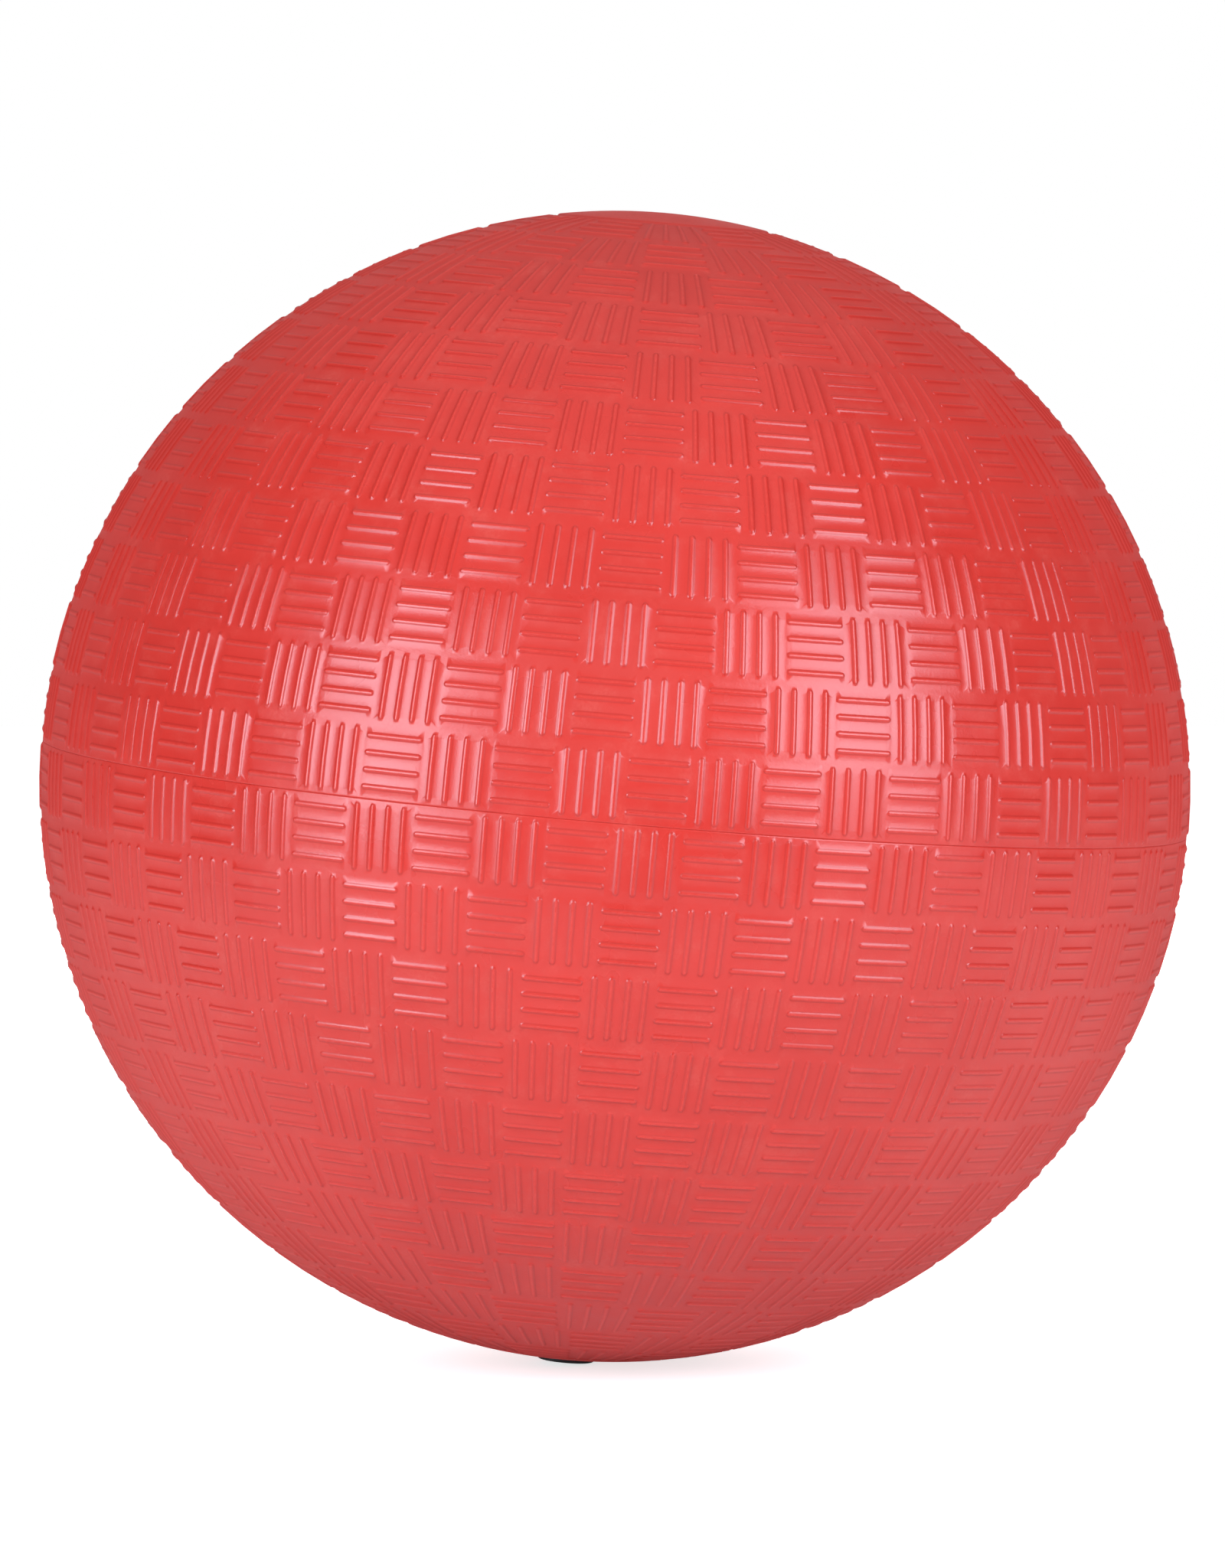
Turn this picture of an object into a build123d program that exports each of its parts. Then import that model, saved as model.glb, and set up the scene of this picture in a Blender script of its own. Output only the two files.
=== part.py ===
"""Playground rubber ball, 8.5 inches across: a two-ply hollow rubber ball with a plug valve.

The origin is the ball's centre. +Z runs along the valve's axis, away from the valve, so the valve is at
the bottom. All sizes are in millimetres. Each piece is written to parts/NAME.step.
"""

from build123d import *
import os
from math import atan2, cos, hypot, radians, sin, sqrt

# Driving sizes of the ball
BALL_DIAMETER = 216.0  # over the crests of the moulded surface
COVER_WALL = 1.3  # red outer ply
BLADDER_WALL = 0.8  # black inner ply
TOP, BOTTOM = 1, -1  # the two ends of the axis
FULL_TURN = 360.0  # degrees

# The bonded seam between the two halves of the cover, on the equator
LAP_HEIGHT = 3.0  # how far the upper half's tongue reaches below the equator
SEAM_CHAMFER = 0.25  # makes the fine V groove of the mould's parting line

# The bladder, spliced from equal gores that leave a small hole at the top
GORE_COUNT = 4
POLE_HOLE_RADIUS = 3.0

# Reinforcing discs bonded inside the bladder, with feathered edges
PATCH_WALL = 0.8
PATCH_EDGE = 0.3  # thickness left at a feathered edge
PATCH_FEATHER = 3.0  # width of a feathered edge
POLE_PATCH_RADIUS = 16.0
VALVE_PATCH_RADIUS = 24.0

# The valve housing: a nose through the wall, a flange inside it and a sleeve that reaches inward
NOSE_RADIUS = 5.4
NOSE_PROUD = 0.8  # how far the nose stands out of the cover
NOSE_EDGE = 0.5  # rounding of the nose's outer rim
FLANGE_RADIUS = 15.0
FLANGE_WALL = 1.2
SLEEVE_ROOT_RADIUS = 6.4
SLEEVE_TIP_RADIUS = 4.3
SLEEVE_LENGTH = 14.0  # from the flange's inner face to the sleeve's tip

# The valve insert: a soft plug with a head, a stem and a duckbill of two lips
STEM_RADIUS = 2.45
STEM_CLEARANCE = 0.05  # radial, to the housing's bore
HEAD_RADIUS = 3.3
HEAD_CLEARANCE = 0.1  # radial, to the housing's counterbore
HEAD_THICKNESS = 2.0
SEAT_CLEARANCE = 0.05  # under the head
HEAD_CROWN = 0.3  # rise of the head's domed face above the nose
LIP_LENGTH = 5.0
LIP_TIP_WIDTH = 1.6  # across both lips at their tips
TIP_STANDOUT = 3.0  # how far the lips reach past the sleeve

# The passage for an inflating needle, through the insert
NEEDLE_BORE_RADIUS = 1.1
NEEDLE_BORE_LENGTH = 12.0  # the straight guide below its funnel
FUNNEL_RADIUS = 1.7
FUNNEL_DEPTH = 0.8
SLIT_WIDTH = 0.1  # between the lips, which air pressure closes

# Radii of the concentric layers, from the outside in
COVER_OUTER = BALL_DIAMETER / 2
COVER_INNER = COVER_OUTER - COVER_WALL
COVER_MIDDLE = (COVER_OUTER + COVER_INNER) / 2  # where the seam steps
BLADDER_INNER = COVER_INNER - BLADDER_WALL
PATCH_INNER = BLADDER_INNER - PATCH_WALL
FLANGE_INNER = PATCH_INNER - FLANGE_WALL

# Heights along the valve's axis
NOSE_FACE = -COVER_OUTER - NOSE_PROUD
HEAD_SEAT = NOSE_FACE + HEAD_THICKNESS + SEAT_CLEARANCE
SLEEVE_TIP = -FLANGE_INNER + SLEEVE_LENGTH
INSERT_TIP = SLEEVE_TIP + TIP_STANDOUT
BORE_RADIUS = STEM_RADIUS + STEM_CLEARANCE
COUNTERBORE_RADIUS = HEAD_RADIUS + HEAD_CLEARANCE


def off_axis(layer_radius, distance, end):
    """Profile point on a spherical layer, a distance away from the ball's axis, near one end of it."""
    return (distance, end * sqrt(layer_radius**2 - distance**2))


def at_height(layer_radius, height):
    """Profile point on a spherical layer, at a height above the equator."""
    return (sqrt(layer_radius**2 - height**2), height)


def layer_arc(start, end):
    """Profile arc about the ball's centre, between two points of one spherical layer."""
    radius = hypot(*start)
    middle = (atan2(start[1], start[0]) + atan2(end[1], end[0])) / 2
    return ThreePointArc(start, (radius * cos(middle), radius * sin(middle)), end)


def turned(edges, degrees=FULL_TURN):
    """Solid swept by a closed profile, given as distance from the axis and height, about the ball's axis."""
    return revolve(Plane.XZ * Face(Wire(edges)), Axis.Z, degrees)


def cover_upper_half():
    """Half of the cover, with an inner tongue that laps behind the lower half."""
    pole_outer = (0, COVER_OUTER)
    pole_inner = (0, COVER_INNER)
    rim_outer = at_height(COVER_OUTER, SEAM_CHAMFER)
    rim_chamfered = (COVER_OUTER - SEAM_CHAMFER, 0)
    step = (COVER_MIDDLE, 0)
    tongue_outer = at_height(COVER_MIDDLE, -LAP_HEIGHT)
    tongue_inner = at_height(COVER_INNER, -LAP_HEIGHT)
    return turned(
        [
            layer_arc(pole_outer, rim_outer),
            Line(rim_outer, rim_chamfered),
            Line(rim_chamfered, step),
            layer_arc(step, tongue_outer),
            Line(tongue_outer, tongue_inner),
            layer_arc(tongue_inner, pole_inner),
            Line(pole_inner, pole_outer),
        ]
    )


def cover_lower_half():
    """Half of the cover, stepped to lap over the upper half, with a round port for the valve's nose."""
    port_outer = off_axis(COVER_OUTER, NOSE_RADIUS, BOTTOM)
    port_inner = off_axis(COVER_INNER, NOSE_RADIUS, BOTTOM)
    shelf_inner = at_height(COVER_INNER, -LAP_HEIGHT)
    shelf_outer = at_height(COVER_MIDDLE, -LAP_HEIGHT)
    step = (COVER_MIDDLE, 0)
    rim_chamfered = (COVER_OUTER - SEAM_CHAMFER, 0)
    rim_outer = at_height(COVER_OUTER, -SEAM_CHAMFER)
    return turned(
        [
            Line(port_outer, port_inner),
            layer_arc(port_inner, shelf_inner),
            Line(shelf_inner, shelf_outer),
            layer_arc(shelf_outer, step),
            Line(step, rim_chamfered),
            Line(rim_chamfered, rim_outer),
            layer_arc(rim_outer, port_outer),
        ]
    )


def bladder_gore():
    """One gore of the bladder, from the top hole to the valve's nose, starting on the XZ plane."""
    top_outer = off_axis(COVER_INNER, POLE_HOLE_RADIUS, TOP)
    top_inner = off_axis(BLADDER_INNER, POLE_HOLE_RADIUS, TOP)
    bottom_outer = off_axis(COVER_INNER, NOSE_RADIUS, BOTTOM)
    bottom_inner = off_axis(BLADDER_INNER, NOSE_RADIUS, BOTTOM)
    return turned(
        [
            layer_arc(top_outer, bottom_outer),
            Line(bottom_outer, bottom_inner),
            layer_arc(bottom_inner, top_inner),
            Line(top_inner, top_outer),
        ],
        FULL_TURN / GORE_COUNT,
    )


def feathered_edge(disc_radius, bonded_radius, inner_radius, end):
    """Profile points of a disc's edge: on its bonded face, at its thin lip, and where its full wall starts."""
    bonded = off_axis(bonded_radius, disc_radius, end)
    lip = off_axis(bonded_radius - PATCH_EDGE, disc_radius, end)
    full = off_axis(inner_radius, disc_radius - PATCH_FEATHER, end)
    return bonded, lip, full


def pole_patch():
    """Round patch inside the bladder that closes the hole where the gores meet at the top."""
    bonded, lip, full = feathered_edge(POLE_PATCH_RADIUS, BLADDER_INNER, PATCH_INNER, TOP)
    pole_bonded = (0, BLADDER_INNER)
    pole_inner = (0, PATCH_INNER)
    return turned(
        [
            layer_arc(pole_bonded, bonded),
            Line(bonded, lip),
            Line(lip, full),
            layer_arc(full, pole_inner),
            Line(pole_inner, pole_bonded),
        ]
    )


def valve_patch():
    """Round patch inside the bladder that reinforces it around the valve's nose."""
    bonded, lip, full = feathered_edge(VALVE_PATCH_RADIUS, BLADDER_INNER, PATCH_INNER, BOTTOM)
    hole_bonded = off_axis(BLADDER_INNER, NOSE_RADIUS, BOTTOM)
    hole_inner = off_axis(PATCH_INNER, NOSE_RADIUS, BOTTOM)
    return turned(
        [
            layer_arc(hole_bonded, bonded),
            Line(bonded, lip),
            Line(lip, full),
            layer_arc(full, hole_inner),
            Line(hole_inner, hole_bonded),
        ]
    )


def valve_housing():
    """Rubber housing bonded to the valve patch, with a stepped bore that holds the insert."""
    bonded, lip, full = feathered_edge(FLANGE_RADIUS, PATCH_INNER, FLANGE_INNER, BOTTOM)
    mouth = (COUNTERBORE_RADIUS, NOSE_FACE)
    rim_start = (NOSE_RADIUS - NOSE_EDGE, NOSE_FACE)
    rim_end = (NOSE_RADIUS, NOSE_FACE + NOSE_EDGE)
    rim_middle = (
        NOSE_RADIUS - NOSE_EDGE + NOSE_EDGE * sin(radians(45)),
        NOSE_FACE + NOSE_EDGE - NOSE_EDGE * cos(radians(45)),
    )
    nose_root = off_axis(PATCH_INNER, NOSE_RADIUS, BOTTOM)
    sleeve_root = off_axis(FLANGE_INNER, SLEEVE_ROOT_RADIUS, BOTTOM)
    sleeve_tip = (SLEEVE_TIP_RADIUS, SLEEVE_TIP)
    bore_tip = (BORE_RADIUS, SLEEVE_TIP)
    bore_seat = (BORE_RADIUS, HEAD_SEAT)
    seat_edge = (COUNTERBORE_RADIUS, HEAD_SEAT)
    return turned(
        [
            Line(mouth, rim_start),
            ThreePointArc(rim_start, rim_middle, rim_end),
            Line(rim_end, nose_root),
            layer_arc(nose_root, bonded),
            Line(bonded, lip),
            Line(lip, full),
            layer_arc(full, sleeve_root),
            Line(sleeve_root, sleeve_tip),
            Line(sleeve_tip, bore_tip),
            Line(bore_tip, bore_seat),
            Line(bore_seat, seat_edge),
            Line(seat_edge, mouth),
        ]
    )


def needle_passage():
    """Space for the needle: a funnel at the mouth, a straight guide, and the slit between the lips."""
    crown = NOSE_FACE - HEAD_CROWN
    guide_start = crown + FUNNEL_DEPTH
    guide_end = guide_start + NEEDLE_BORE_LENGTH
    above = crown - FUNNEL_DEPTH
    funnel = turned(
        [
            Line((0, above), (FUNNEL_RADIUS, above)),
            Line((FUNNEL_RADIUS, above), (FUNNEL_RADIUS, crown)),
            Line((FUNNEL_RADIUS, crown), (NEEDLE_BORE_RADIUS, guide_start)),
            Line((NEEDLE_BORE_RADIUS, guide_start), (NEEDLE_BORE_RADIUS, guide_end)),
            Line((NEEDLE_BORE_RADIUS, guide_end), (0, guide_end)),
            Line((0, guide_end), (0, above)),
        ]
    )
    slit_length = 2 * (INSERT_TIP - guide_end)
    slit = Pos(0, 0, guide_end) * Box(SLIT_WIDTH, 2 * NEEDLE_BORE_RADIUS, slit_length)
    return funnel + slit


def lip_relief(side):
    """Wedge cut from one side of the stem's end, which leaves a lip that thins towards its tip."""
    start = (side * STEM_RADIUS, INSERT_TIP - LIP_LENGTH)
    tip = (side * LIP_TIP_WIDTH / 2, INSERT_TIP)
    beyond = (side * 2 * STEM_RADIUS, INSERT_TIP)
    outside = (side * 2 * STEM_RADIUS, INSERT_TIP - LIP_LENGTH)
    wedge = Plane.XZ * make_face(Polyline(start, tip, beyond, outside, close=True))
    return extrude(wedge, STEM_RADIUS, both=True)


def valve_insert():
    """Soft plug that seals the ball and opens around a needle: domed head, stem and duckbill lips."""
    crown = (0, NOSE_FACE - HEAD_CROWN)
    head_rim = (HEAD_RADIUS, NOSE_FACE)
    crown_side = (HEAD_RADIUS / 2, NOSE_FACE - HEAD_CROWN * 3 / 4)
    head_base = (HEAD_RADIUS, NOSE_FACE + HEAD_THICKNESS)
    stem_root = (STEM_RADIUS, NOSE_FACE + HEAD_THICKNESS)
    stem_tip = (STEM_RADIUS, INSERT_TIP)
    plug = turned(
        [
            ThreePointArc(crown, crown_side, head_rim),
            Line(head_rim, head_base),
            Line(head_base, stem_root),
            Line(stem_root, stem_tip),
            Line(stem_tip, (0, INSERT_TIP)),
            Line((0, INSERT_TIP), crown),
        ]
    )
    return plug - lip_relief(1) - lip_relief(-1) - needle_passage()


def all_pieces():
    """Every piece of the ball, by the name of its node."""
    pieces = {
        "cover_upper_half": cover_upper_half(),
        "cover_lower_half": cover_lower_half(),
        "pole_patch": pole_patch(),
        "valve_patch": valve_patch(),
        "valve_housing": valve_housing(),
        "valve_insert": valve_insert(),
    }
    for number in range(GORE_COUNT):
        turn = Rot(0, 0, number * FULL_TURN / GORE_COUNT)
        pieces[f"bladder_gore_{number + 1}"] = turn * bladder_gore()
    return pieces


os.makedirs("parts", exist_ok=True)
for node, piece in all_pieces().items():
    export_step(piece, f"parts/{node}.step")
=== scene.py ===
"""Looks of a playground rubber ball: its moulded basket-weave cover, its valve and a plain pale studio.

Metres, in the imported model's own frame: the ball's centre is the origin, +Z runs along the valve's axis and
the valve is at the bottom. Latitudes are counted from the seam at the equator, and longitudes from the
meridian that faces the camera, to the right.
"""

import math

import bpy
from mathutils import Matrix, Vector


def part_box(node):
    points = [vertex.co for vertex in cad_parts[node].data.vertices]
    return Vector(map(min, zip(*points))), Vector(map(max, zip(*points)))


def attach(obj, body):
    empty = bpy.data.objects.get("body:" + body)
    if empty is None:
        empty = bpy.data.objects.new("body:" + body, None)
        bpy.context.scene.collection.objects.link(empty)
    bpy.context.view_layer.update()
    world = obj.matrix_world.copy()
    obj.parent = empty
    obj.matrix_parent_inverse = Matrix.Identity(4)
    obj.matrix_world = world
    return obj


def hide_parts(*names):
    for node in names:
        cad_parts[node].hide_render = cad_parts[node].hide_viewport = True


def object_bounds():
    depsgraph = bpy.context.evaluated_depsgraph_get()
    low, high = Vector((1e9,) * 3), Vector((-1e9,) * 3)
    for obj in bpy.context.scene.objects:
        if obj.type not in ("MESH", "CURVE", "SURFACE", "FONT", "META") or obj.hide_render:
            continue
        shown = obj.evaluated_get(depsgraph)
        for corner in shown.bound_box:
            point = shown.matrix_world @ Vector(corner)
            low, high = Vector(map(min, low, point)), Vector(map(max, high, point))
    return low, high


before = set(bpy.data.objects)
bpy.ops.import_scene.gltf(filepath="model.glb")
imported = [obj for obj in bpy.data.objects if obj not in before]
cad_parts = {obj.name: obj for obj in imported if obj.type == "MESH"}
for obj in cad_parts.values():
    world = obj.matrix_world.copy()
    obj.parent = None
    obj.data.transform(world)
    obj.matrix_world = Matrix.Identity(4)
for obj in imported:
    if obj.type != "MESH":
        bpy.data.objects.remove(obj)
cad_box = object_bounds()

MM = 0.001

# Radii of the cover, from the frame
CREST_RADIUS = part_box("cover_upper_half")[1][2]
INNER_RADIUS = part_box("bladder_gore_1")[1][0]
MIDDLE_RADIUS = (CREST_RADIUS + INNER_RADIUS) / 2  # where the seam between the halves steps
LAP_HEIGHT = -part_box("cover_upper_half")[0][2]
NOSE_RADIUS = 5.4 * MM  # of the valve housing, where it passes through the cover

# The moulded surface: rows of tiles between the seam and a smooth pad at each pole
RIB_HEIGHT = 0.32 * MM
GROUND_RADIUS = CREST_RADIUS - RIB_HEIGHT
ROWS = 11
PAD_ANGLE = math.radians(10.8)  # of a pad, from its pole to its rim
ROW_ANGLE = (math.pi / 2 - PAD_ANGLE) / ROWS
TILES_ROUND = 56  # on the equator, and fewer towards the poles
ALIGNED_AT = math.radians(-2.7)  # longitude where the tiles of the first row line up
ROW_DRIFT = math.radians(0.7)  # and how far that moves from row to row

# One tile: four ribs, upright or level
RIBS = 4
RIB_WIDTH = 1.35 * MM
LEVEL_PITCH = 3.05 * MM  # between the ribs of a level tile
UPRIGHT_GAP = 0.6 * MM  # from the end of an upright rib to its row's border
LEVEL_GAP = 0.45 * MM  # from the end of a level rib to its tile's side
ROW_MARGIN = 0.3 * MM  # of smooth land kept at each border of a row

# A rib's section, as (distance from its middle line / half width, height / full height)
RIB_SECTION = ((-1.0, 0.0), (-0.62, 0.7), (-0.14, 1.0), (0.14, 1.0), (0.62, 0.7), (1.0, 0.0))
# A rib's end, as (distance in from the end / half width, height / full height)
RIB_END = ((0.0, 0.0), (0.38, 0.7), (0.86, 1.0))

RIB_TURN = math.radians(7)  # largest turn, nearly, between two points along a level rib

# Plain turned parts of the cover
ROUND_STEPS = 180  # points on each ring of a turned surface
INNER_RINGS = 14  # down the inside of a half
PAD_RINGS = 9  # on a smooth pad
SEAM_LAND = 0.14 * MM  # from the equator to each lip of the parting line
SEAM_DEPTH = 0.08 * MM
PORT_ROUNDING = 0.35 * MM  # radius of the edge of the valve's port
PORT_STEPS = 2  # rings on that edge
NORMAL_WEIGHT = 65  # above 50, the shading of a corner follows its largest face


class Skin:
    """Points and faces of one half of the cover. side is 1 for the upper half and -1 for the lower."""

    def __init__(self, side):
        self.side = side
        self.points = []
        self.rise = []
        self.faces = []

    def add(self, radius, latitude, longitude, rise=0.0):
        """Adds a point and returns its index. rise is its height on the moulded surface, from 0 to 1."""
        flat = radius * math.cos(latitude)
        height = self.side * radius * math.sin(latitude)
        self.points.append((flat * math.sin(longitude), -flat * math.cos(longitude), height))
        self.rise.append(rise)
        return len(self.points) - 1

    def face(self, *corners):
        """Adds a face whose corners run anticlockwise, seen from outside on the upper half."""
        self.faces.append(corners if self.side > 0 else corners[::-1])

    def grid(self, rows):
        """Fills a patch of rows of points with quads. Rows run away from the equator."""
        for low, high in zip(rows, rows[1:]):
            for i in range(len(low) - 1):
                self.face(low[i], low[i + 1], high[i + 1], high[i])

    def ring(self, radius, latitude, rise=0.0):
        """Adds a closed ring of evenly spaced points, as (longitude, index) pairs."""
        step = 2 * math.pi / ROUND_STEPS
        return [(i * step, self.add(radius, latitude, i * step, rise)) for i in range(ROUND_STEPS)]

    def band(self, low, high):
        """Joins two even rings with quads."""
        for i in range(ROUND_STEPS):
            j = (i + 1) % ROUND_STEPS
            self.face(low[i][1], low[j][1], high[j][1], high[i][1])

    def bands(self, rings):
        """Joins each ring in a list to the next."""
        for low, high in zip(rings, rings[1:]):
            self.band(low, high)

    def cap(self, ring, radius, outside):
        """Closes a ring with a fan round the pole, on the outside of the cover or on its inside."""
        pole = self.add(radius, math.pi / 2, 0.0, 1.0 if outside else 0.0)
        for i in range(ROUND_STEPS):
            here = ring[i][1]
            after = ring[(i + 1) % ROUND_STEPS][1]
            self.face(*((here, after, pole) if outside else (after, here, pole)))

    def zip_columns(self, left, right):
        """Joins the facing sides of two tiles, each a list of (latitude, index) pairs, equator first."""
        a = b = 0
        while a < len(left) - 1 or b < len(right) - 1:
            left_next = left[a + 1][0] if a < len(left) - 1 else math.inf
            right_next = right[b + 1][0] if b < len(right) - 1 else math.inf
            if left_next <= right_next:
                self.face(left[a][1], right[b][1], left[a + 1][1])
                a += 1
            else:
                self.face(left[a][1], right[b][1], right[b + 1][1])
                b += 1

    def zip_rings(self, low, high):
        """Joins two closed rings with different points, each a list of (longitude, index) pairs."""
        turn = 2 * math.pi
        start = low[0][0]

        def ahead(pair):
            return (pair[0] - start) % turn

        first = min(range(len(high)), key=lambda i: min(ahead(high[i]), turn - ahead(high[i])))
        high = high[first:] + high[:first]
        low_at = [ahead(pair) for pair in low] + [turn]
        lead = ahead(high[0])
        lead -= turn if lead > math.pi else 0.0
        high_at = [lead + (pair[0] - high[0][0]) % turn for pair in high] + [lead + turn]
        a = b = 0
        while a < len(low) or b < len(high):
            corner_low = low[a % len(low)][1]
            corner_high = high[b % len(high)][1]
            if b == len(high) or (a < len(low) and low_at[a + 1] <= high_at[b + 1]):
                self.face(corner_low, low[(a + 1) % len(low)][1], corner_high)
                a += 1
            else:
                self.face(corner_low, high[(b + 1) % len(high)][1], corner_high)
                b += 1


def end_pull(across):
    """How far a rib's round end lies in from its tip, / half width, at a distance from its middle line."""
    return 1 - math.sqrt(max(0.0, 1 - across * across))


def along_rib(half_length, half_width, between):
    """Stations along a rib: (position at its middle line, height share, 1 or -1 at an end and 0 between).

    between is how many stations lie between the two ends.
    """
    near = [(-half_length + inset * half_width, height, -1) for inset, height in RIB_END]
    far = [(-position, height, 1) for position, height, end in reversed(near)]
    start = near[-1][0]
    step = -2 * start / (between + 1)
    return near + [(start + (i + 1) * step, 1.0, 0) for i in range(between)] + far


def across_tile(pitch, half_width):
    """Stations across a tile's ribs: (distance from the tile's middle, place in the rib, height share)."""
    stations = []
    for rib in range(RIBS):
        middle = (rib - (RIBS - 1) / 2) * pitch
        for place, height in RIB_SECTION:
            stations.append((middle + place * half_width, place, height))
    return stations


def upright_tile(skin, south, north, middle, width):
    """A tile whose ribs run along the meridians. Returns its two sides and its two edges."""
    centre = (south + north) / 2
    margin = ROW_MARGIN / GROUND_RADIUS
    half_length = (north - south) / 2 - UPRIGHT_GAP / GROUND_RADIUS
    half_width = RIB_WIDTH / 2 / GROUND_RADIUS
    turn_width = half_width / math.cos(centre)
    columns = across_tile(width / RIBS, turn_width)
    rows = [[skin.add(GROUND_RADIUS, south + margin, middle + x) for x, place, height in columns]]
    latitudes = [[south + margin] * len(columns)]
    for position, along_height, end in along_rib(half_length, half_width, between=1):
        row = []
        row_latitudes = []
        for x, place, across_height in columns:
            rise = along_height * across_height
            latitude = centre + position - end * end_pull(place) * half_width
            row.append(skin.add(GROUND_RADIUS + rise * RIB_HEIGHT, latitude, middle + x, rise))
            row_latitudes.append(latitude)
        rows.append(row)
        latitudes.append(row_latitudes)
    rows.append([skin.add(GROUND_RADIUS, north - margin, middle + x) for x, place, height in columns])
    latitudes.append([north - margin] * len(columns))
    skin.grid(rows)
    left = [(latitude[0], row[0]) for latitude, row in zip(latitudes, rows)]
    right = [(latitude[-1], row[-1]) for latitude, row in zip(latitudes, rows)]
    edge = [middle + x for x, place, height in columns]
    return left, right, list(zip(edge, rows[0])), list(zip(edge, rows[-1]))


def level_side(skin, column, eastern):
    """Fills the notches between the round ends of a level tile's ribs, down one column of its points.

    Returns the straight side that is left, as (latitude, index) pairs.
    """

    def fill(*corners):
        skin.face(*(corners[::-1] if eastern else corners))

    points = [index for latitude, index in column]
    size = len(RIB_SECTION)
    ribs = [points[1 + rib * size : 1 + (rib + 1) * size] for rib in range(RIBS)]
    half = size // 2
    for i in range(half - 1):
        fill(points[0], ribs[0][i], ribs[0][i + 1])
        fill(ribs[-1][-2 - i], ribs[-1][-1 - i], points[-1])
    for lower, upper in zip(ribs, ribs[1:]):
        for i in range(half - 1):
            fill(lower[-2 - i], lower[-1 - i], upper[i], upper[i + 1])
    kept = [0]
    for rib in range(RIBS):
        kept += [rib * size + half, rib * size + half + 1]
    return [column[i] for i in kept + [len(column) - 1]]


def level_tile(skin, south, north, middle, width):
    """A tile whose ribs run along the parallels. Returns its two sides and its two edges."""
    centre = (south + north) / 2
    margin = ROW_MARGIN / GROUND_RADIUS
    half_width = RIB_WIDTH / 2 / GROUND_RADIUS
    turn_width = half_width / math.cos(centre)
    half_length = width / 2 - LEVEL_GAP / GROUND_RADIUS / math.cos(centre)
    stations = along_rib(half_length, turn_width, max(1, round(width / RIB_TURN)))
    ribs = across_tile(LEVEL_PITCH / GROUND_RADIUS, half_width)
    lines = [(centre + y, place, height) for y, place, height in ribs]
    lines = [(south + margin, 0.0, 0.0)] + lines + [(north - margin, 0.0, 0.0)]
    rows = []
    longitudes = []
    for latitude, place, across_height in lines:
        row = []
        row_longitudes = []
        for position, along_height, end in stations:
            rise = along_height * across_height
            longitude = middle + position - end * end_pull(place) * turn_width
            row.append(skin.add(GROUND_RADIUS + rise * RIB_HEIGHT, latitude, longitude, rise))
            row_longitudes.append(longitude)
        rows.append(row)
        longitudes.append(row_longitudes)
    skin.grid(rows)
    left = level_side(skin, [(line[0], row[0]) for line, row in zip(lines, rows)], eastern=False)
    right = level_side(skin, [(line[0], row[-1]) for line, row in zip(lines, rows)], eastern=True)
    return left, right, list(zip(longitudes[0], rows[0])), list(zip(longitudes[-1], rows[-1]))


def tile_row(skin, number):
    """One row of tiles, upright and level in turn. Returns its near and far edges from the equator."""
    south = number * ROW_ANGLE
    north = south + ROW_ANGLE
    tiles = 2 * round(TILES_ROUND / 2 * math.cos((south + north) / 2))
    width = 2 * math.pi / tiles
    signed = number if skin.side > 0 else -1 - number
    aligned = ALIGNED_AT + signed * ROW_DRIFT
    near, far, sides = [], [], []
    for tile in range(tiles):
        make = upright_tile if (tile + signed) % 2 == 0 else level_tile
        left, right, low, high = make(skin, south, north, aligned + tile * width, width)
        sides.append((left, right))
        near += low
        far += high
    for tile in range(tiles):
        skin.zip_columns(sides[tile][1], sides[(tile + 1) % tiles][0])
    return near, far


def moulded_skin(skin):
    """All the rows of tiles of one half, joined edge to edge. Returns its first and its last edge."""
    first = last = None
    for number in range(ROWS):
        near, far = tile_row(skin, number)
        if last is None:
            first = near
        else:
            skin.zip_rings(last, near)
        last = far
    return first, last


def pad_rim(skin):
    """Rings of the step from the ground up to the smooth pad round a pole, which starts at its crest."""
    rim = math.pi / 2 - PAD_ANGLE
    half_width = RIB_WIDTH / 2 / GROUND_RADIUS
    rings = []
    for inset, height in RIB_END:
        latitude = rim + ROW_MARGIN / GROUND_RADIUS + inset * half_width
        rings.append(skin.ring(GROUND_RADIUS + height * RIB_HEIGHT, latitude, height))
    return rings


def seam_rings(skin):
    """Rings from the moulded surface round the half's edge to its inside, in order from the outside."""
    lip = skin.ring(GROUND_RADIUS, SEAM_LAND / GROUND_RADIUS)
    floor = skin.ring(GROUND_RADIUS - SEAM_DEPTH, 0.0)
    step = skin.ring(MIDDLE_RADIUS, 0.0)
    tongue = -skin.side * LAP_HEIGHT
    tongue_outer = skin.ring(MIDDLE_RADIUS, math.asin(tongue / MIDDLE_RADIUS))
    tongue_inner = skin.ring(INNER_RADIUS, math.asin(tongue / INNER_RADIUS))
    return [lip, floor, step, tongue_outer, tongue_inner]


def inner_rings(skin, end_latitude):
    """Rings of the smooth inside, from beyond the seam to a latitude, the far one included."""
    start = -skin.side * math.asin(LAP_HEIGHT / INNER_RADIUS)
    rings = []
    for i in range(1, INNER_RINGS + 1):
        latitude = start + (end_latitude - start) * i / INNER_RINGS
        rings.append(skin.ring(INNER_RADIUS, latitude))
    return rings


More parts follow.
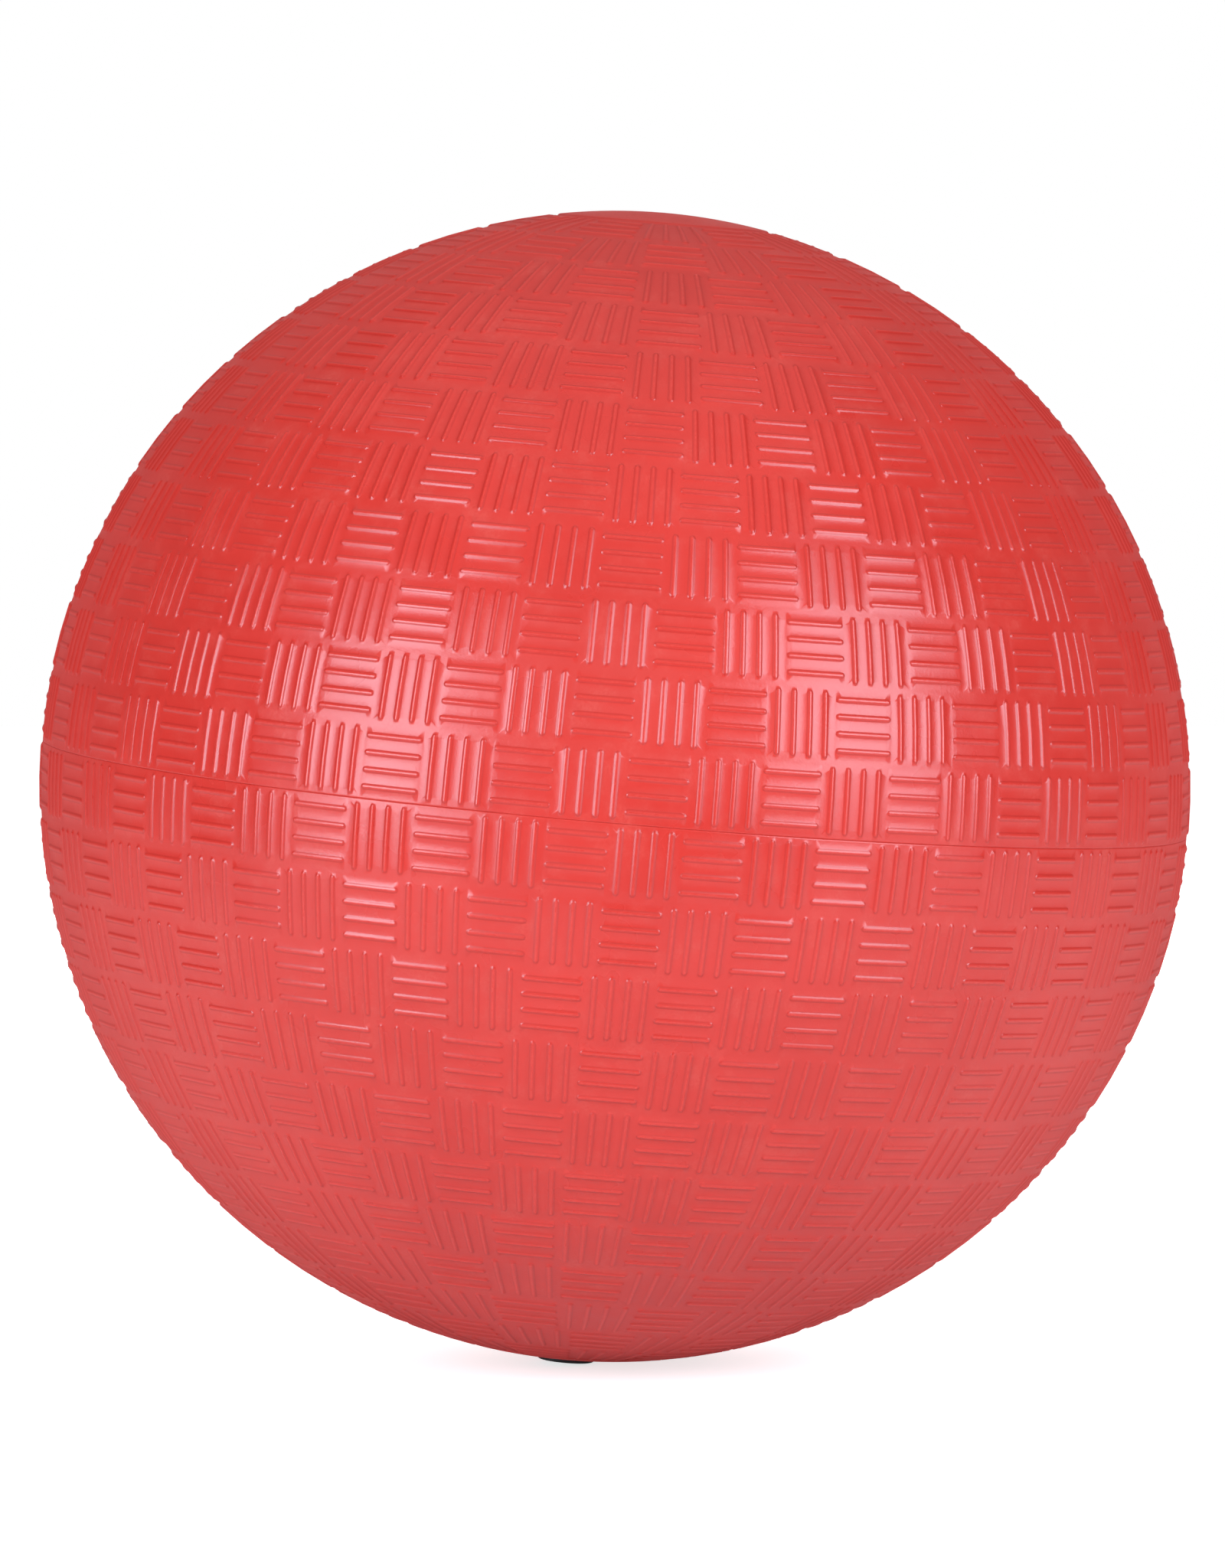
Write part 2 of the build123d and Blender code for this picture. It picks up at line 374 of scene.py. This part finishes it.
def pad_rings(skin, end_latitude):
    """Rings of a smooth pad at crest height, from inside its rim to a latitude, the far one included."""
    half_width = RIB_WIDTH / 2 / GROUND_RADIUS
    start = math.pi / 2 - PAD_ANGLE + ROW_MARGIN / GROUND_RADIUS + RIB_END[-1][0] * half_width
    rings = []
    for i in range(1, PAD_RINGS + 1):
        latitude = start + (end_latitude - start) * i / PAD_RINGS
        rings.append(skin.ring(CREST_RADIUS, latitude, 1.0))
    return rings


def upper_skin():
    """The upper half of the cover: moulded surface, smooth pad at the top, seam and inside."""
    skin = Skin(side=1)
    near_pole = math.pi / 2 - PAD_ANGLE / PAD_RINGS
    first, last = moulded_skin(skin)
    rim = pad_rim(skin)
    skin.zip_rings(last, rim[0])
    outside = rim + pad_rings(skin, near_pole)
    skin.bands(outside)
    skin.cap(outside[-1], CREST_RADIUS, outside=True)
    seam = seam_rings(skin)
    skin.zip_rings(seam[0], first)
    inside = seam + inner_rings(skin, near_pole)
    skin.bands(inside[::-1])
    skin.cap(inside[-1], INNER_RADIUS, outside=False)
    return skin


def lower_skin():
    """The lower half of the cover: moulded surface, smooth pad with the valve's port, seam and inside."""
    skin = Skin(side=-1)
    first, last = moulded_skin(skin)
    rim = pad_rim(skin)
    skin.zip_rings(last, rim[0])
    port_edge = math.acos((NOSE_RADIUS + PORT_ROUNDING) / CREST_RADIUS)
    outside = rim + pad_rings(skin, port_edge)
    for step in range(1, PORT_STEPS + 1):
        turn = step / PORT_STEPS * math.pi / 2
        distance = NOSE_RADIUS + PORT_ROUNDING * (1 - math.sin(turn))
        radius = CREST_RADIUS - PORT_ROUNDING * (1 - math.cos(turn))
        outside.append(skin.ring(radius, math.acos(distance / radius), 1.0))
    port_inner = math.acos(NOSE_RADIUS / INNER_RADIUS)
    seam = seam_rings(skin)
    skin.zip_rings(seam[0], first)
    inside = seam + inner_rings(skin, port_inner)
    skin.bands(outside + [inside[-1]])
    skin.bands(inside[::-1])
    return skin


def piece_from(skin, name, node):
    """A Blender object made from a skin, which stands for a CAD node and rides on its body."""
    mesh = bpy.data.meshes.new(name)
    mesh.from_pydata(skin.points, [], skin.faces)
    mesh.validate()
    rise = mesh.attributes.new("rise", "FLOAT", "POINT")
    rise.data.foreach_set("value", skin.rise)
    mesh.shade_smooth()
    piece = bpy.data.objects.new(name, mesh)
    bpy.context.scene.collection.objects.link(piece)
    weighted = piece.modifiers.new("weighted_normals", "WEIGHTED_NORMAL")
    weighted.mode = "FACE_AREA"
    weighted.weight = NORMAL_WEIGHT
    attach(piece, "ball")
    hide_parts(node)
    return piece


# Materials

NOISE_ROUGHNESS = 0.6  # how strong the fine detail in a noise is
MOST_OF_NOISE = (0.3, 0.7)  # the range that holds nearly all of a noise's values


def new_material(name):
    """An empty node material, with its output and a Principled shader already linked."""
    material = bpy.data.materials.new(name)
    material.use_nodes = True
    tree = material.node_tree
    tree.nodes.clear()
    output = tree.nodes.new("ShaderNodeOutputMaterial")
    output.name = "Material Output"
    shader = tree.nodes.new("ShaderNodeBsdfPrincipled")
    tree.links.new(shader.outputs["BSDF"], output.inputs["Surface"])
    return material, tree, shader


def noise(tree, size, detail, kept=MOST_OF_NOISE):
    """Noise in the object's own space, with its values in the kept range stretched to 0..1.

    size is that of its largest features, and detail is how many finer layers it has.
    """
    place = tree.nodes.new("ShaderNodeTexCoord")
    texture = tree.nodes.new("ShaderNodeTexNoise")
    texture.inputs["Scale"].default_value = 1 / size
    texture.inputs["Detail"].default_value = detail
    texture.inputs["Roughness"].default_value = NOISE_ROUGHNESS
    tree.links.new(place.outputs["Object"], texture.inputs["Vector"])
    return remap(tree, texture.outputs["Fac"], kept, (0.0, 1.0))


def remap(tree, value, old, new):
    """value stretched from the old range to the new one, and clamped to it. A range is (start, end)."""
    node = tree.nodes.new("ShaderNodeMapRange")
    node.inputs["From Min"].default_value = old[0]
    node.inputs["From Max"].default_value = old[1]
    node.inputs["To Min"].default_value = new[0]
    node.inputs["To Max"].default_value = new[1]
    tree.links.new(value, node.inputs["Value"])
    return node.outputs["Result"]


def blend_colours(tree, share, first, second):
    """Colour that goes from first to second as share goes from 0 to 1. Each is a colour or a socket."""
    node = tree.nodes.new("ShaderNodeMix")
    node.data_type = "RGBA"
    tree.links.new(share, node.inputs["Factor"])
    for colour, socket in ((first, node.inputs["A"]), (second, node.inputs["B"])):
        if isinstance(colour, tuple):
            socket.default_value = (*colour, 1.0)
        else:
            tree.links.new(colour, socket)
    return node.outputs["Result"]


def add_bump(tree, shader, layers):
    """Stacks bumps on the shader. Each layer is (height socket, height in metres)."""
    normal = None
    for height, distance in layers:
        bump = tree.nodes.new("ShaderNodeBump")
        bump.inputs["Strength"].default_value = 1.0
        bump.inputs["Distance"].default_value = distance
        tree.links.new(height, bump.inputs["Height"])
        if normal is not None:
            tree.links.new(normal, bump.inputs["Normal"])
        normal = bump.outputs["Normal"]
    tree.links.new(normal, shader.inputs["Normal"])


def combine(tree, operation, first, second):
    """Math on two sockets, or on a socket and a number."""
    node = tree.nodes.new("ShaderNodeMath")
    node.operation = operation
    tree.links.new(first, node.inputs[0])
    if isinstance(second, float):
        node.inputs[1].default_value = second
    else:
        tree.links.new(second, node.inputs[1])
    return node.outputs["Value"]


# Colours of the cover
COVER_RED = (0.60, 0.034, 0.024)
COVER_DEEP_RED = (0.54, 0.028, 0.020)
# Painted shade: a darker red for the ribs' flanks, the same all round the ball
FLANK_SHADE_RED = (0.42, 0.022, 0.016)
CREST_RED = (0.64, 0.046, 0.033)
BLOOM_PINK = (0.64, 0.092, 0.068)

# The largest share of each colour over the one below it
SHADE = 0.6  # of the darker red painted on the ribs' flanks as shade
RUBBED = 0.7  # of the rubbed red, on the crests
BLOOM = 0.5  # of the pale bloom, on the ground between the ribs

# Where they lie, as a share of a rib's height, from the ground to the crest
MID_HEIGHT = 0.5
CREST_HEIGHTS = (0.8, 1.0)
GROUND_HEIGHTS = (0.0, 0.5)

# Sizes of the cover's noises, and how high the two bumps stand
CLOUD_SIZE = 36 * MM
PATCH_SIZE = 8 * MM
PATCH_RANGE = (0.5, 0.75)
SPECKLE_SIZE = 0.65 * MM
SATIN_SIZE = 16 * MM
WAVE_SIZE = 4 * MM
WAVE_HEIGHT = 0.012 * MM
GRAIN_SIZE = 0.4 * MM
GRAIN_HEIGHT = 0.009 * MM

# Gloss of the cover
COVER_IOR = 1.5
SATIN = (0.25, 0.345)  # roughness, from its glossiest clouds to its dullest
POLISH = 0.04  # how much less rough the rubbed crests are
GLANCING_DULLNESS = 0.4  # how much rougher the rubber looks along its surface than straight on
GLANCING = (0.35, 0.85)  # where that starts and is full, from 0 straight on to 1 along the surface


def cover_material():
    """Red moulded rubber: cloudy pigment, painted shade on the flanks, rubbed crests, a pale bloom and a fine
    grain.
    """
    material, tree, shader = new_material("red_rubber")
    rise = tree.nodes.new("ShaderNodeAttribute")
    rise.attribute_name = "rise"
    crest = remap(tree, rise.outputs["Fac"], CREST_HEIGHTS, (0.0, 1.0))
    ground = remap(tree, rise.outputs["Fac"], GROUND_HEIGHTS, (1.0, 0.0))
    # Painted shade: a darker red on the ribs' flanks, strongest halfway up them
    from_ends = combine(tree, "PINGPONG", rise.outputs["Fac"], MID_HEIGHT)
    painted_flank_shade = remap(tree, from_ends, (0.0, MID_HEIGHT), (0.0, SHADE))
    speckle = noise(tree, SPECKLE_SIZE, detail=2.0)
    cloudy = blend_colours(tree, noise(tree, CLOUD_SIZE, detail=4.0), COVER_DEEP_RED, COVER_RED)
    base = blend_colours(tree, painted_flank_shade, cloudy, FLANK_SHADE_RED)
    rub = combine(tree, "MULTIPLY", combine(tree, "MULTIPLY", crest, speckle), RUBBED)
    rubbed = blend_colours(tree, rub, base, CREST_RED)
    patchy = noise(tree, PATCH_SIZE, detail=5.0, kept=PATCH_RANGE)
    patches = combine(tree, "MULTIPLY", patchy, BLOOM)
    bloom = combine(tree, "MULTIPLY", combine(tree, "MULTIPLY", ground, patches), speckle)
    tree.links.new(blend_colours(tree, bloom, rubbed, BLOOM_PINK), shader.inputs["Base Color"])
    satin = remap(tree, noise(tree, SATIN_SIZE, detail=3.0), (0.0, 1.0), SATIN)
    polish = combine(tree, "MULTIPLY", crest, POLISH)
    glancing = tree.nodes.new("ShaderNodeLayerWeight")
    dull = remap(tree, glancing.outputs["Facing"], GLANCING, (0.0, GLANCING_DULLNESS))
    rubbed_satin = combine(tree, "SUBTRACT", satin, polish)
    tree.links.new(combine(tree, "ADD", rubbed_satin, dull), shader.inputs["Roughness"])
    shader.inputs["IOR"].default_value = COVER_IOR
    waves = (noise(tree, WAVE_SIZE, detail=2.0), WAVE_HEIGHT)
    grain = (noise(tree, GRAIN_SIZE, detail=3.0), GRAIN_HEIGHT)
    add_bump(tree, shader, [waves, grain])
    return material


# Black rubbers: the material's name, its colour, the colour of the dust on it, and its roughness from its
# glossiest spots to its dullest
BLADDER_RUBBER = ("bladder_black", (0.018, 0.017, 0.017), (0.05, 0.048, 0.046), (0.54, 0.68))
HOUSING_RUBBER = ("housing_black", (0.010, 0.008, 0.008), (0.035, 0.030, 0.030), (0.54, 0.68))
INSERT_RUBBER = ("insert_black", (0.016, 0.014, 0.014), (0.05, 0.045, 0.045), (0.52, 0.66))

DUST_SIZE = 2.4 * MM
DUST_RANGE = (0.45, 0.75)
UNEVEN_SIZE = 1.4 * MM
BLACK_GRAIN_SIZE = 0.24 * MM
BLACK_GRAIN_HEIGHT = 0.006 * MM


def black_rubber(name, colour, dusty, roughness):
    """Black moulded rubber with a fine grain and a faint bloom of dust."""
    material, tree, shader = new_material(name)
    dust = noise(tree, DUST_SIZE, detail=4.0, kept=DUST_RANGE)
    tree.links.new(blend_colours(tree, dust, colour, dusty), shader.inputs["Base Color"])
    uneven = remap(tree, noise(tree, UNEVEN_SIZE, detail=3.0), (0.0, 1.0), roughness)
    tree.links.new(uneven, shader.inputs["Roughness"])
    grain = noise(tree, BLACK_GRAIN_SIZE, detail=3.0)
    add_bump(tree, shader, [(grain, BLACK_GRAIN_HEIGHT)])
    return material


def paint_node(node, material):
    """Gives a CAD node a material in every slot."""
    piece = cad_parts[node]
    for slot in piece.material_slots:
        slot.material = material


# Studio

LEAN = math.radians(4.9)  # how far the ball leans to the right on its floor, seen from the camera
ELEVATION = math.radians(3.5)  # of the camera, seen from the ball's centre
CAMERA_DISTANCE = 1.73  # from the ball's centre
FRAME_SIZE = (1600, 2048)
BALL_SHARE = 0.94  # of the frame's width, that the ball fills
SENSOR = 36.0  # millimetres, along the frame's longer side
FRAME_SHIFT = (-0.0015, 0.0015)  # as a share of the frame's longer side
NEAREST_SEEN = 0.01
FARTHEST_SEEN = 50.0

FLOOR_HEIGHT = cad_box[0][2]
FLOOR_FRONT = 0.43  # how far it reaches in front of the ball, to each side and behind it
FLOOR_SIDE = 1.1
FLOOR_BACK = 2.2
FLOOR_GREY = (0.8, 0.8, 0.8)
FLOOR_ROUGHNESS = 0.8
FLOOR_GLOW = 0.10  # the floor's own light, as the ball sees it
SHADOW_REACH = 0.45  # how far from under the ball the floor has turned pure white
SHADOW_GLOW = 0.7  # the floor's own light under the ball, as the camera sees it, lower than far off: a painted shadow
ROOM_LIGHT = 0.01  # of the room around the studio, as the ball sees it
SEEN_LIGHT = 1.0  # of the floor and the room, as the camera sees them

WHITE = (1.0, 1.0, 1.0)
COOL = (0.82, 1.0, 1.16)

# Soft lights: name, degrees to the right of the camera, degrees up, metres away, size, watts and colour
LIGHTS = (
    ("key_left", -44, 12, 1.2, (0.58, 0.72), 12.8, COOL),
    ("key_right", 48, 18, 1.2, (0.66, 0.8), 13.0, COOL),
    ("ceiling", 0, 88, 1.2, (1.6, 1.6), 4.4, WHITE),
    ("backdrop", 180, 22, 1.4, (2.5, 1.8), 3.9, WHITE),
    ("front_fill", 0, 25, 2.2, (1.8, 1.0), 14.0, WHITE),
    ("rear_fill", 180, 24, 1.3, (1.0, 0.7), 8.0, WHITE),
)


def studio_place(matrix):
    """Turns a place in the level studio into the ball's frame, in which the studio leans."""
    return Matrix.Rotation(-LEAN, 4, "Y") @ matrix


def make_camera():
    """Camera in front of the ball and a little above it, level with the studio."""
    data = bpy.data.cameras.new("camera")
    camera = bpy.data.objects.new("camera", data)
    bpy.context.scene.collection.objects.link(camera)
    bpy.context.scene.camera = camera
    back = Vector((0.0, -math.cos(ELEVATION), math.sin(ELEVATION)))
    turn = (-back).to_track_quat("-Z", "Y").to_matrix().to_4x4()
    camera.matrix_world = studio_place(Matrix.Translation(back * CAMERA_DISTANCE) @ turn)
    limb = math.tan(math.asin(CREST_RADIUS / CAMERA_DISTANCE))
    data.sensor_width = SENSOR
    data.lens = BALL_SHARE / 2 * FRAME_SIZE[0] / FRAME_SIZE[1] * SENSOR / limb
    data.shift_x, data.shift_y = FRAME_SHIFT
    data.clip_start = NEAREST_SEEN
    data.clip_end = FARTHEST_SEEN


def floor_material():
    """White floor with a soft shadow under the ball, partly cast and partly painted into its glow, which
    isn't there when it is seen from below.
    """
    material, tree, shader = new_material("floor_white")
    shader.inputs["Base Color"].default_value = (*FLOOR_GREY, 1.0)
    shader.inputs["Roughness"].default_value = FLOOR_ROUGHNESS
    place = tree.nodes.new("ShaderNodeTexCoord")
    distance = tree.nodes.new("ShaderNodeVectorMath")
    distance.operation = "LENGTH"
    tree.links.new(place.outputs["Object"], distance.inputs[0])
    # Painted shadow: as the camera sees it, the floor glows less near the ball and is pure white further off
    seen = remap(tree, distance.outputs["Value"], (0.0, SHADOW_REACH), (SHADOW_GLOW, SEEN_LIGHT))
    paths = tree.nodes.new("ShaderNodeLightPath")
    glow = tree.nodes.new("ShaderNodeMix")
    glow.inputs["A"].default_value = FLOOR_GLOW
    tree.links.new(paths.outputs["Is Camera Ray"], glow.inputs["Factor"])
    tree.links.new(seen, glow.inputs["B"])
    shader.inputs["Emission Color"].default_value = (*WHITE, 1.0)
    tree.links.new(glow.outputs["Result"], shader.inputs["Emission Strength"])
    side = tree.nodes.new("ShaderNodeNewGeometry")
    clear = tree.nodes.new("ShaderNodeBsdfTransparent")
    mix = tree.nodes.new("ShaderNodeMixShader")
    tree.links.new(side.outputs["Backfacing"], mix.inputs["Fac"])
    tree.links.new(shader.outputs["BSDF"], mix.inputs[1])
    tree.links.new(clear.outputs["BSDF"], mix.inputs[2])
    tree.links.new(mix.outputs["Shader"], tree.nodes["Material Output"].inputs["Surface"])
    return material


def make_floor():
    """Pale floor under the ball, which ends a little way in front of it."""
    corners = [
        (-FLOOR_SIDE, -FLOOR_FRONT, 0.0),
        (FLOOR_SIDE, -FLOOR_FRONT, 0.0),
        (FLOOR_SIDE, FLOOR_BACK, 0.0),
        (-FLOOR_SIDE, FLOOR_BACK, 0.0),
    ]
    mesh = bpy.data.meshes.new("floor")
    mesh.from_pydata(corners, [], [(0, 1, 2, 3)])
    mesh.materials.append(floor_material())
    floor = bpy.data.objects.new("floor", mesh)
    bpy.context.scene.collection.objects.link(floor)
    floor.matrix_world = studio_place(Matrix.Translation((0.0, 0.0, FLOOR_HEIGHT)))


def soft_light(name, azimuth, elevation, distance, size, power, colour):
    """Soft light that faces the ball."""
    data = bpy.data.lights.new(name, "AREA")
    data.shape = "RECTANGLE"
    data.size, data.size_y = size
    data.energy = power
    data.color = colour
    light = bpy.data.objects.new(name, data)
    bpy.context.scene.collection.objects.link(light)
    around = math.radians(azimuth)
    up = math.radians(elevation)
    away = Vector((math.sin(around) * math.cos(up), -math.cos(around) * math.cos(up), math.sin(up)))
    turn = (-away).to_track_quat("-Z", "Y").to_matrix().to_4x4()
    light.matrix_world = studio_place(Matrix.Translation(away * distance) @ turn)
    light.visible_camera = False
    return light


def make_lights():
    """Two soft boxes in front, a ceiling, a backdrop that edges the ball, and two fills with no shine."""
    lights = {light[0]: soft_light(*light) for light in LIGHTS}
    lights["front_fill"].visible_glossy = False
    lights["rear_fill"].visible_glossy = False


def make_world():
    """White seen by the camera, and an almost dark room for everything else."""
    world = bpy.data.worlds.new("studio")
    bpy.context.scene.world = world
    world.use_nodes = True
    tree = world.node_tree
    tree.nodes.clear()
    output = tree.nodes.new("ShaderNodeOutputWorld")
    paths = tree.nodes.new("ShaderNodeLightPath")
    mix = tree.nodes.new("ShaderNodeMixShader")
    room = tree.nodes.new("ShaderNodeBackground")
    room.inputs["Color"].default_value = (*WHITE, 1.0)
    room.inputs["Strength"].default_value = ROOM_LIGHT
    seen = tree.nodes.new("ShaderNodeBackground")
    seen.inputs["Color"].default_value = (*WHITE, 1.0)
    seen.inputs["Strength"].default_value = SEEN_LIGHT
    tree.links.new(paths.outputs["Is Camera Ray"], mix.inputs["Fac"])
    tree.links.new(room.outputs["Background"], mix.inputs[1])
    tree.links.new(seen.outputs["Background"], mix.inputs[2])
    tree.links.new(mix.outputs["Shader"], output.inputs["Surface"])


def make_pieces():
    """The ball's visible pieces: two moulded cover halves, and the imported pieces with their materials."""
    red = cover_material()
    for skin, name, node in (
        (upper_skin(), "moulded_cover_upper", "cover_upper_half"),
        (lower_skin(), "moulded_cover_lower", "cover_lower_half"),
    ):
        piece_from(skin, name, node).data.materials.append(red)
    bladder = black_rubber(*BLADDER_RUBBER)
    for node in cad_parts:
        if node.startswith("bladder_gore") or node.endswith("_patch"):
            paint_node(node, bladder)
    paint_node("valve_housing", black_rubber(*HOUSING_RUBBER))
    paint_node("valve_insert", black_rubber(*INSERT_RUBBER))


make_camera()
make_floor()
make_lights()
make_world()
make_pieces()
bpy.context.scene.view_settings.view_transform = "Standard"
bpy.context.scene.view_settings.look = "None"
